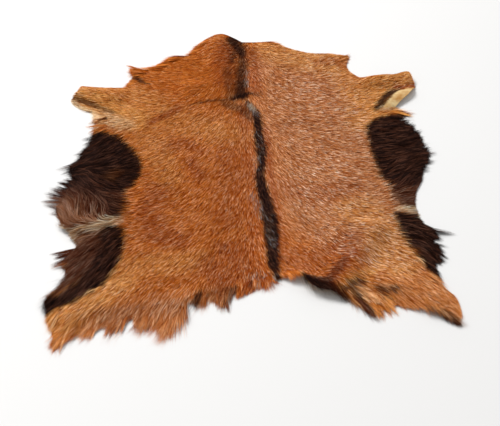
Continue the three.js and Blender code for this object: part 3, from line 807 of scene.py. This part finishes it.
# one joined mesh of hairs, each a tapering ribbon. centre holds every ring of every hair
def ribbonMesh(name, centre, side, width, tone, lock, rootX, rootY, pick):
    count, rings = centre.shape[:2]
    each = 2 * rings - 1
    corners = np.zeros((count, each, 3), np.float32)
    half = side * width[:, :-1, None] / 2
    corners[:, 0:each - 1:2] = centre[:, :-1] - half
    corners[:, 1:each - 1:2] = centre[:, :-1] + half
    corners[:, -1] = centre[:, -1]
    quads = [(2 * k, 2 * k + 1, 2 * k + 3, 2 * k + 2) for k in range(rings - 2)]
    pattern = np.array([c for quad in quads for c in quad] + [each - 3, each - 2, each - 1])
    sizes = np.array([4] * (rings - 2) + [3])
    loops = (np.arange(count)[:, None] * each + pattern).ravel()
    totals = np.tile(sizes, count)
    mesh = bpy.data.meshes.new(name)
    mesh.vertices.add(count * each)
    mesh.loops.add(len(loops))
    mesh.polygons.add(len(totals))
    mesh.vertices.foreach_set("co", (corners * mm).ravel())
    mesh.loops.foreach_set("vertex_index", loops.astype(np.int32))
    starts = np.concatenate([[0], np.cumsum(totals)[:-1]])
    mesh.polygons.foreach_set("loop_start", starts.astype(np.int32))
    mesh.polygons.foreach_set("use_smooth", np.ones(len(totals), bool))
    mesh.update(calc_edges=True)
    strand = np.zeros((count, each, 3), np.float32)
    strand[:, :, 0] = np.repeat(np.arange(rings) / (rings - 1), 2)[:each]
    strand[:, :, 1] = tone[:, None]
    strand[:, :, 2] = lock[:, None]
    mesh.attributes.new("strand", "FLOAT_VECTOR", "POINT").data.foreach_set("vector", strand.ravel())
    setCoat(mesh, rootX, rootY, each, pick)
    layBakeMap(mesh, count, each, rings, loops)
    return mesh


# every hair gets its own small cell of the map named OFBake
bakeCell = {"low": 0.1, "middle": 0.5, "high": 0.9}


def layBakeMap(mesh, count, each, rings, loops):
    across = math.ceil(math.sqrt(count))
    cellU = (np.arange(count) % across) / across
    cellV = (np.arange(count) // across) / across
    low, high = bakeCell["low"], bakeCell["high"]
    u = np.tile([low, high], rings)[:each].astype(float)
    u[-1] = bakeCell["middle"]
    v = low + (high - low) * np.repeat(np.arange(rings) / (rings - 1), 2)[:each]
    corner = np.stack([cellU[:, None] + u / across, cellV[:, None] + v / across], axis=2).reshape(-1, 2)
    bakeMap = mesh.uv_layers.new(name="OFBake")
    bakeMap.data.foreach_set("uv", corner[loops].astype(np.float32).ravel())


# where hairs run over the skin from their lock's root, following the lie of the coat
def runOver(lockX, lockY, heading, length, stations, follow):
    offset = heading - lieOf(lockX, lockY)
    px, py = lockX, lockY
    path = [(px, py, heading)]
    for before, after in zip(stations, stations[1:]):
        turn = (lieOf(px, py) + offset - heading + np.pi) % (2 * np.pi) - np.pi
        way = heading + follow * turn
        px = px + np.cos(way) * length * (after - before)
        py = py + np.sin(way) * length * (after - before)
        path.append((px, py, way))
    return [np.column_stack(part) for part in zip(*path)]


# the share of the fringe's reach that a hair takes: its clump's own, and a little of its own
clumps = {"middle": 0.45, "spread": 0.75, "own": 0.08, "least": -0.9, "most": 1.7}


def reachShare(x, y, random):
    share = clumps["middle"] + clumps["spread"] * look("clump", x, y)
    share = share + clumps["own"] * random.normal(0, 1, len(x))
    return np.clip(share, clumps["least"], clumps["most"])


# hairs stop where they would reach out past the rim by more than the fringe does there
trimming = {"steps": 9, "slack": 0.5, "back": 0.5}


def trimToReach(roots, hair, random):
    steps = np.linspace(0, 1, trimming["steps"])
    lockX, lockY, length = roots["lockX"], roots["lockY"], roots["length"]
    px, py, _ = runOver(lockX, lockY, roots["heading"], length, steps, hair["follow"])
    px = px + (roots["x"] - lockX)[:, None]
    py = py + (roots["y"] - lockY)[:, None]
    share = reachShare(roots["x"], roots["y"], random)
    allowed = look("reach", roots["x"], roots["y"]) * share + trimming["slack"]
    over = -look("inside", px, py) > allowed[:, None]
    first = np.where(over.any(axis=1), over.argmax(axis=1), len(steps))
    share = np.clip((first - trimming["back"]) / (len(steps) - 1), hair["shortest"], 1)
    return length * share


# hairs rise from the skin, lie over their neighbours, draw together and droop past the rim
combing = {
    "gatherPower": 1.2, "edgeFrom": -2, "rimFade": 12, "leastRise": 0.15, "ownRoll": 0.4,
    "widths": (0.75, 1.25), "ownStray": 0.5, "middleTone": 0.5,
}


def combHair(name, roots, hair, random):
    count = len(roots["x"])
    length = trimToReach(roots, hair, random) if hair["trim"] else roots["length"]
    stations = hair["stations"]
    lockX, lockY = roots["lockX"], roots["lockY"]
    px, py, way = runOver(lockX, lockY, roots["heading"], length, stations, hair["follow"])
    lean = np.radians(hair["lean"]) * (1 + hair["leanSpread"] * (2 * roots["high"] - 1))
    centre = np.zeros((count, len(stations), 3))
    side = np.zeros((count, len(stations) - 1, 3))
    ownRoll = random.uniform(-combing["ownRoll"], combing["ownRoll"], count)
    roll = np.radians(hair["roll"]) * (2 * roots["roll"] - 1 + ownRoll)
    for k, s in enumerate(stations):
        pull = 1 - hair["gather"] * s ** combing["gatherPower"]
        x = px[:, k] + (roots["x"] - lockX) * pull
        y = py[:, k] + (roots["y"] - lockY) * pull
        inside = look("inside", x, y)
        outside = np.maximum(-inside, 0)
        rise = hair["least"] + length * np.sin(lean) * (2 * s - s * s)
        nearEdge = smooth(inside, combing["edgeFrom"], hair["edgeOver"])
        rise = rise * (hair["edge"] + (1 - hair["edge"]) * nearEdge)
        rise = rise * (1 - hair["droop"] * smooth(outside, 0, hair["droopOver"]))
        onSkin = 1 - smooth(outside, 0, combing["rimFade"])
        base = look("lift", x, y) + (skinSheet["thick"] + hair["clear"]) * onSkin
        centre[:, k] = np.column_stack([x, y, base + np.maximum(rise, combing["leastRise"])])
        if k < len(stations) - 1:
            ahead = way[:, k]
            side[:, k] = np.column_stack([
                -np.sin(ahead) * np.cos(roll), np.cos(ahead) * np.cos(roll), np.sin(roll)])
    width = hair["width"] * random.uniform(*combing["widths"], count)[:, None] * np.array(hair["taper"])
    calm = 1 - look("calm", roots["x"], roots["y"])
    tone = np.clip(combing["middleTone"] + calm * random.normal(0, hair["own"], count), 0, 1)
    stray = hair["borderStray"]
    ownStray = stray * combing["ownStray"]
    shown = [[np.interp(hair["shownAt"], stations, row) for row in centre[:, :, k]] for k in (0, 1)]
    coatX = np.array(shown[0]) + roots["mixX"] * stray + random.normal(0, 1, count) * ownStray
    coatY = np.array(shown[1]) + roots["mixY"] * stray + random.normal(0, 1, count) * ownStray
    mesh = ribbonMesh(name, centre, side, width, tone, roots["lock"], coatX, coatY, roots["pick"])
    return makePiece(name, mesh, hairMaterial)


# spreads hairs round their locks' roots, and lets each hair have its lock's named values
growing = {"ownTone": 0.55, "middle": 0.5, "fromEdge": 0.3, "rootsFromEdge": 0.5}


def growLocks(hair, x, y, heading, length, spread, random):
    count, each = len(x), hair["hairs"]
    high = random.uniform(0, 1, count)
    # hairs that stand higher are painted lighter and lower ones darker: painted light and shade by height
    own = growing["ownTone"] * random.normal(0, 1, count) + hair["shadeByHeight"] * (high - growing["middle"])
    calm = 1 - look("calm", x, y)
    lock = hair["tone"] + hair["contrast"] * calm * own + hair["streak"] * look("streak", x, y)
    lock = np.clip(lock, 0, 1)
    values = {"lockX": x, "lockY": y, "heading": heading, "length": length, "lock": lock, "high": high,
              "roll": random.uniform(0, 1, count), "mixX": random.normal(0, 1, count),
              "mixY": random.normal(0, 1, count), "pick": random.uniform(0, 1, count)}
    roots = {name: np.repeat(value, each) for name, value in values.items()}
    count = len(roots["lockX"])
    angle = random.uniform(0, 2 * math.pi, count)
    away = spread * np.sqrt(random.uniform(0, 1, count))
    roots["x"] = roots["lockX"] + np.cos(angle) * away
    roots["y"] = roots["lockY"] + np.sin(angle) * away
    roots["heading"] = roots["heading"] + np.radians(hair["stray"]) * random.normal(0, 1, count)
    uneven = hair["lengthSpread"]
    roots["length"] = roots["length"] * random.uniform(1 - uneven, 1 + uneven, count)
    inside = look("skin", roots["x"], roots["y"]) > growing["fromEdge"]
    return {name: value[inside] for name, value in roots.items()}


# a grid of places, each moved at random by up to half the pitch
def shakenGrid(pitch, random):
    x, y = np.meshgrid(np.arange(gridX[0], gridX[-1], pitch), np.arange(gridY[0], gridY[-1], pitch))
    x = x + random.uniform(-0.5, 0.5, x.shape) * pitch
    y = y + random.uniform(-0.5, 0.5, y.shape) * pitch
    return x.ravel(), y.ravel()


# locks on a shaken grid over the part of the hide that where() picks
def scatterRoots(hair, where, random):
    pitch = hair["pitch"]
    x, y = shakenGrid(pitch, random)
    keep = (look("skin", x, y) > growing["rootsFromEdge"]) & where(x, y)
    keep = keep & (random.uniform(0, 1, len(x)) > look("bare", x, y))
    x, y = x[keep], y[keep]
    heading = lieOf(x, y) + np.radians(hair["sway"]) * random.normal(0, 1, len(x))
    length = look("length", x, y) * random.uniform(1 - hair["uneven"], 1 + hair["uneven"], len(x))
    return growLocks(hair, x, y, heading, length, pitch * hair["spread"], random)


# the lines between the pieces of the coat
coatEdges = {"withers": 170, "rump": -170, "back": 12, "leftRump": -330, "rear": -300}


def isLong(x, y):
    return look("length", x, y) > hairLengths["longFrom"]


def isShortBack(x, y):
    return ~isLong(x, y) & (y <= coatEdges["withers"]) & (y > coatEdges["rump"])


def everywhere(x, y):
    return np.ones(len(x), bool)


def growPiece(name, hair, seed, rootsOf, where):
    random = np.random.default_rng(seed)
    combHair(name, rootsOf(hair, where, random), hair, random)


# short hair of the body, one ribbon to a root
bodyHair = {
    "pitch": 1.45, "hairs": 1, "spread": 0.3, "sway": 5, "stray": 1, "uneven": 0.25, "lengthSpread": 0.2,
    "lean": 8, "leanSpread": 0.7, "shadeByHeight": 0.5, "tone": 0.47, "contrast": 0.9, "own": 0.5,
    "streak": 0.02, "gather": 0.0, "follow": 1.0, "trim": True, "shortest": 0.3, "edge": 0.4,
    "edgeOver": 24, "droop": 0.75, "droopOver": 30, "clear": 0.1, "least": 0.3, "roll": 50,
    "width": 1.45, "shownAt": 0.5, "borderStray": 2.2, "stations": [0, 1], "taper": [1.0, 0],
}
for name, seed, where in (
        ("shoulderHair", 3, lambda x, y: ~isLong(x, y) & (y > coatEdges["withers"])),
        ("leftBackHair", 4, lambda x, y: isShortBack(x, y) & (x < coatEdges["back"])),
        ("rightBackHair", 5, lambda x, y: isShortBack(x, y) & (x >= coatEdges["back"])),
        ("rumpHair", 6, lambda x, y: ~isLong(x, y) & (y <= coatEdges["rump"]))):
    growPiece(name, bodyHair, seed, scatterRoots, where)

# long hair of the flanks and the rump, in locks
longHair = {
    "pitch": 3.0, "hairs": 5, "spread": 0.5, "sway": 8, "stray": 4, "uneven": 0.2, "lengthSpread": 0.25,
    "lean": 8, "leanSpread": 0.7, "shadeByHeight": 0.8, "tone": 0.5, "contrast": 0.75, "own": 0.5,
    "streak": 0.07, "gather": 0.66, "follow": 0.9, "trim": True, "shortest": 0.25, "edge": 0.45,
    "edgeOver": 30, "droop": 0.7, "droopOver": 42, "clear": 0.1, "least": 0.3, "roll": 45,
    "width": 0.8, "shownAt": 0.5, "borderStray": 4.0,
    "stations": [0, 0.34, 0.68, 1], "taper": [0.85, 1.0, 0.7, 0],
}
rumpHair = dict(longHair, **{"pitch": 2.7, "contrast": 0.6, "gather": 0.4, "width": 0.62})
for name, hair, seed, where in (
        ("leftFlankHair", longHair, 8, lambda x, y: isLong(x, y) & (x < 0) & (y > coatEdges["leftRump"])),
        ("leftRumpHair", rumpHair, 9, lambda x, y: isLong(x, y) & (x < 0) & (y <= coatEdges["leftRump"])),
        ("rightFlankHair", longHair, 10, lambda x, y: isLong(x, y) & (x >= 0))):
    growPiece(name, hair, seed, scatterRoots, where)

# the fringe: locks rooted in a band inside the rim, where the hair does reach out
fringeHair = {
    "pitch": 3.6, "hairs": 11, "spread": 0.8, "band": 24, "leastReach": 3, "mostBare": 0.3,
    "far": 0.05, "farSpread": 0.2, "leastFar": -0.3, "mostFar": 1.5, "sway": 9, "stray": 4,
    "lengthSpread": 0.24, "lean": 7, "leanSpread": 0.8,
    "shadeByHeight": 0.8, "tone": 0.4, "contrast": 0.5, "own": 0.3, "streak": 0.07, "gather": 0.88,
    "follow": 0.7, "trim": False, "edge": 0.5, "edgeOver": 24, "droop": 0.75, "droopOver": 30,
    "clear": 0.1, "least": 0.3, "roll": 45, "width": 0.7, "shownAt": 0.34, "borderStray": 2.0,
    "stations": [0, 0.34, 0.68, 1], "taper": [0.85, 1.0, 0.7, 0],
}
rearHair = dict(fringeHair, **{
    "gather": 0.66, "width": 0.55, "contrast": 0.8, "lengthSpread": 0.34, "own": 0.4})
wispHair = dict(fringeHair, **{
    "pitch": 9.0, "hairs": 3, "spread": 0.3, "leastReach": 6, "far": 0.7, "farSpread": 0.35,
    "width": 0.45, "gather": 0.5, "sway": 18, "stray": 9, "mostFar": 2.1})
rimSearch = {"far": 45, "step": 1.5, "none": 999.0}


def fringeRoots(hair, where, random):
    pitch = hair["pitch"]
    x, y = shakenGrid(pitch, random)
    inside, reach = look("inside", x, y), look("reach", x, y)
    keep = (look("skin", x, y) > growing["rootsFromEdge"]) & (inside < hair["band"])
    keep = keep & (reach > hair["leastReach"]) & (look("bare", x, y) < hair["mostBare"]) & where(x, y)
    x, y, reach = x[keep], y[keep], reach[keep]
    heading = lieOf(x, y) + np.radians(hair["sway"]) * random.normal(0, 1, len(x))
    toRim = np.full(len(x), rimSearch["none"])
    for away in np.arange(rimSearch["far"], 0, -rimSearch["step"]):
        gone = look("inside", x + np.cos(heading) * away, y + np.sin(heading) * away) < 0
        toRim = np.where(gone, away, toRim)
    keep = toRim < rimSearch["none"]
    share = reachShare(x, y, random) + random.normal(hair["far"], hair["farSpread"], len(x))
    length = toRim + reach * np.clip(share, hair["leastFar"], hair["mostFar"])
    return growLocks(hair, x[keep], y[keep], heading[keep], length[keep], pitch * hair["spread"], random)


for name, hair, seed, where in (
        ("rimHair", fringeHair, 21, lambda x, y: y > coatEdges["rear"]),
        ("rearRimHair", rearHair, 22, lambda x, y: y <= coatEdges["rear"]),
        ("wispHair", wispHair, 27, everywhere)):
    growPiece(name, hair, seed, fringeRoots, where)

# tufts that stand out past the fringe: x, y, heading, length, width and number of points
tufts = [
    (-350, -4, 203, 40, 17, 2), (-350, 10, 214, 18, 8, 1), (-346, -28, 172, 13, 10, 2),
    (-350, -52, 152, 26, 11, 3), (-356, -66, 147, 31, 13, 3), (-362, -80, 147, 33, 13, 3),
    (-369, -96, 150, 34, 13, 3), (-373, -114, 156, 32, 13, 3), (-374, -134, 160, 14, 12, 3),
    (-341, -250, 194, 26, 12, 2), (-342, -260, 202, 22, 12, 2), (-346, -276, 210, 20, 12, 2),
    (-322, -470, 236, 13, 8, 1), (-138, -432, 262, 20, 10, 2), (-34, -376, 276, 17, 9, 1),
    (240, -392, 290, 18, 9, 2), (262, -386, 300, 20, 10, 2),
    (366, -192, 351, 38, 18, 1), (368, -190, 350, 42, 9, 1),
    (366, -206, 342, 17, 11, 2), (368, -232, 330, 19, 11, 3), (366, -256, 316, 20, 11, 3),
    (344, 173, 350, 24, 10, 2), (342, 168, 4, 20, 10, 2), (340, 150, 30, 13, 10, 3),
    (350, 126, 42, 18, 9, 3), (358, 106, 40, 20, 9, 3), (364, 84, 36, 13, 9, 2),
    (370, 60, 24, 20, 10, 3), (372, 38, 20, 25, 10, 3), (372, 14, 10, 20, 10, 3), (368, -12, 8, 12, 10, 2),
    (236, 380, 40, 13, 9, 1), (-268, 338, 150, 12, 9, 1), (-322, 88, 207, 27, 9, 2),
    (-326, 70, 211, 19, 8, 2), (-332, 50, 211, 27, 9, 2), (-338, 30, 209, 21, 9, 2),
    (-322, 122, 201, 22, 9, 2), (-320, 106, 205, 18, 8, 2), (-326, 144, 196, 17, 9, 2),
    (-300, -432, 240, 15, 10, 2), (-240, -432, 252, 19, 10, 2),
    (-220, -424, 256, 18, 10, 2), (-180, -420, 254, 19, 10, 2), (-110, -402, 262, 18, 10, 2),
    (-80, -368, 262, 15, 9, 2),
]
tuftHair = {
    "hairs": 34, "root": 26, "own": 0.4, "fan": 9, "sway": 6, "stray": 2.5, "lengthSpread": 0.22, "lean": 7,
    "leanSpread": 0.6, "shadeByHeight": 0.8, "tone": 0.33, "contrast": 0.4, "streak": 0.05, "gather": 0.9,
    "follow": 0.3, "trim": False, "edge": 0.6, "edgeOver": 20, "droop": 0.7, "droopOver": 45,
    "clear": 0.1, "least": 0.3, "roll": 45, "width": 0.72, "shownAt": 0.25, "borderStray": 1.5,
    "apart": 0.7, "lengths": (0.75, 1.05), "fromRim": 2,
    "stations": [0, 0.25, 0.5, 0.75, 1], "taper": [0.85, 1.0, 0.85, 0.55, 0],
}


def tuftRoots(hair, where, random):
    rows = []
    for x, y, heading, length, wide, points in tufts:
        for k in range(points):
            place = k - (points - 1) / 2
            way = math.radians(heading + place * hair["fan"] + hair["sway"] * random.normal())
            away = place * wide * hair["apart"]
            rows.append((
                x - math.cos(way) * hair["root"] - math.sin(way) * away,
                y - math.sin(way) * hair["root"] + math.cos(way) * away,
                way, hair["root"] + length * random.uniform(*hair["lengths"]), wide / 2))
    x, y, heading, length, wide = np.array(rows).T
    keep = (look("inside", x, y) > hair["fromRim"]) & where(x, y)
    spread = np.repeat(wide[keep], hair["hairs"])
    return growLocks(hair, x[keep], y[keep], heading[keep], length[keep], spread, random)


growPiece("tuftHair", tuftHair, 33, tuftRoots, everywhere)


# floor, light and camera
studio = {
    "floorSize": 14.0, "floorColour": (0.922, 0.919, 0.914), "floorRoughness": 0.7,
    "world": 0.52, "keyPlace": (-2.4, 2.2, 4.2), "keySize": 2.2, "keyPower": 255.0,
    "cameraAim": (0.0094, -0.1386, 0.0), "cameraAway": 2.0, "cameraElevation": 45.0, "lens": 72.19,
}


def makeStudio():
    bpy.ops.mesh.primitive_plane_add(size=studio["floorSize"])
    floor = bpy.context.active_object
    floor.name = "floor"
    material = bpy.data.materials.new("paleFloor")
    material.use_nodes = True
    shader = material.node_tree.nodes["Principled BSDF"]
    shader.inputs["Base Color"].default_value = linear(studio["floorColour"])
    shader.inputs["Roughness"].default_value = studio["floorRoughness"]
    floor.data.materials.append(material)
    world = bpy.data.worlds.new("studioWorld")
    world.use_nodes = True
    world.node_tree.nodes["Background"].inputs["Color"].default_value = (1, 1, 1, 1)
    world.node_tree.nodes["Background"].inputs["Strength"].default_value = studio["world"]
    bpy.context.scene.world = world
    bpy.ops.object.light_add(type="AREA", location=studio["keyPlace"])
    key = bpy.context.active_object
    key.data.energy = studio["keyPower"]
    key.data.size = studio["keySize"]
    key.rotation_euler = (-Vector(studio["keyPlace"])).to_track_quat("-Z", "Y").to_euler()
    aim = Vector(studio["cameraAim"])
    tilt = math.radians(studio["cameraElevation"])
    back = Vector((0, -math.cos(tilt), math.sin(tilt)))
    bpy.ops.object.camera_add(location=aim + back * studio["cameraAway"])
    camera = bpy.context.active_object
    camera.rotation_euler = (-back).to_track_quat("-Z", "Y").to_euler()
    camera.data.lens = studio["lens"]
    bpy.context.scene.camera = camera
    bpy.context.scene.view_settings.view_transform = "Standard"


makeStudio()

print("studio set")
